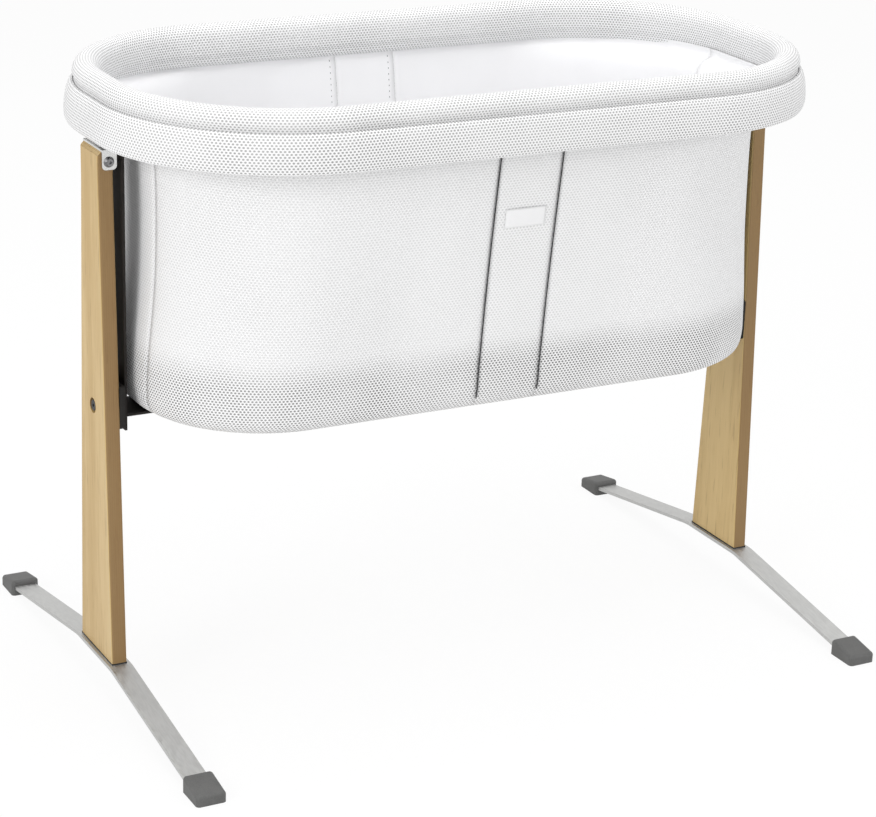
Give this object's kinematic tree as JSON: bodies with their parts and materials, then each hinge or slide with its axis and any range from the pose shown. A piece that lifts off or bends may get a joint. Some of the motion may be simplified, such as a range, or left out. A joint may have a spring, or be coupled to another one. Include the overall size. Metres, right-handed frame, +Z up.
{
  "type": "rocking cradle",
  "caption": "Small rocking cradle: white mesh tub with padded rim hung between tapered wooden legs on arched steel feet, with a loose mattress.",
  "frame": {"origin": "on the floor, midway between the legs and midway between the foot ends", "axes": "+X along the cradle's length, +Y to the back, +Z up"},
  "size_m": [0.789, 0.574, 0.643],
  "materials": {
    "beech": "clear satin lacquer",
    "spring_steel": "satin",
    "grey_rubber": "matte",
    "black_rubber": "matte",
    "zinc_steel": "bright zinc",
    "bright_steel": "satin",
    "black_plastic": "matte",
    "white_plastic": "smooth",
    "black_steel": "matte powder coat",
    "plywood": "bare, sanded",
    "white_mesh": "fine spacer mesh",
    "rim_mesh": "open mesh over padding",
    "black_binding": "woven tape",
    "label_cloth": "plain woven",
    "mattress_cloth": "plain knitted cover"
  },
  "bodies": {
    "stand": {"leg_left": "beech", "leg_right": "beech", "foot_bar_left": "spring_steel", "foot_bar_right": "spring_steel", "foot_gasket_left": "black_rubber", "foot_gasket_right": "black_rubber", "foot_screws_left": "zinc_steel", "foot_screws_right": "zinc_steel", "saddle_left": "bright_steel", "saddle_right": "bright_steel", "saddle_bolts_left": "zinc_steel", "saddle_bolts_right": "zinc_steel", "pivot_pin_left": "zinc_steel", "pivot_pin_right": "zinc_steel", "pivot_clip_left": "zinc_steel", "pivot_clip_right": "zinc_steel", "guide_block_left": "black_plastic", "guide_block_right": "black_plastic", "guide_bolt_left": "zinc_steel", "guide_bolt_right": "zinc_steel", "guide_washer_left": "zinc_steel", "guide_washer_right": "zinc_steel", "foot_cap_front_left": "grey_rubber", "foot_cap_front_right": "grey_rubber", "foot_cap_back_left": "grey_rubber", "foot_cap_back_right": "grey_rubber"},
    "bed": {"rim_ring": "black_steel", "base_board": "plywood", "tub_bottom": "white_mesh", "rim_roll": "rim_mesh", "rim_skirt": "rim_mesh", "blank_label": "label_cloth", "seam_piping_front": "black_binding", "seam_piping_back": "black_binding", "hanger_strip_left": "black_steel", "hanger_strip_right": "black_steel", "pivot_bush_left": "white_plastic", "pivot_bush_right": "white_plastic", "guide_pin_left": "zinc_steel", "guide_pin_right": "zinc_steel", "board_screws_left": "zinc_steel", "board_screws_right": "zinc_steel", "tub_end_left": "white_mesh", "tub_end_right": "white_mesh", "tub_front_left": "white_mesh", "tub_front_centre": "white_mesh", "tub_front_right": "white_mesh", "tub_back_left": "white_mesh", "tub_back_centre": "white_mesh", "tub_back_right": "white_mesh"},
    "mattress": {"mattress": "mattress_cloth"}
  },
  "joints": [
    {"name": "rock", "type": "hinge", "parent": "stand", "child": "bed", "pos_m": [0, 0, 0.586], "axis": [1, 0, 0], "range_deg": [-5, 5]},
    {"name": "mattress_lift", "type": "slide", "parent": "bed", "child": "mattress", "axis": [0, 0, 1], "range_m": [0, 0.35]}
  ]
}
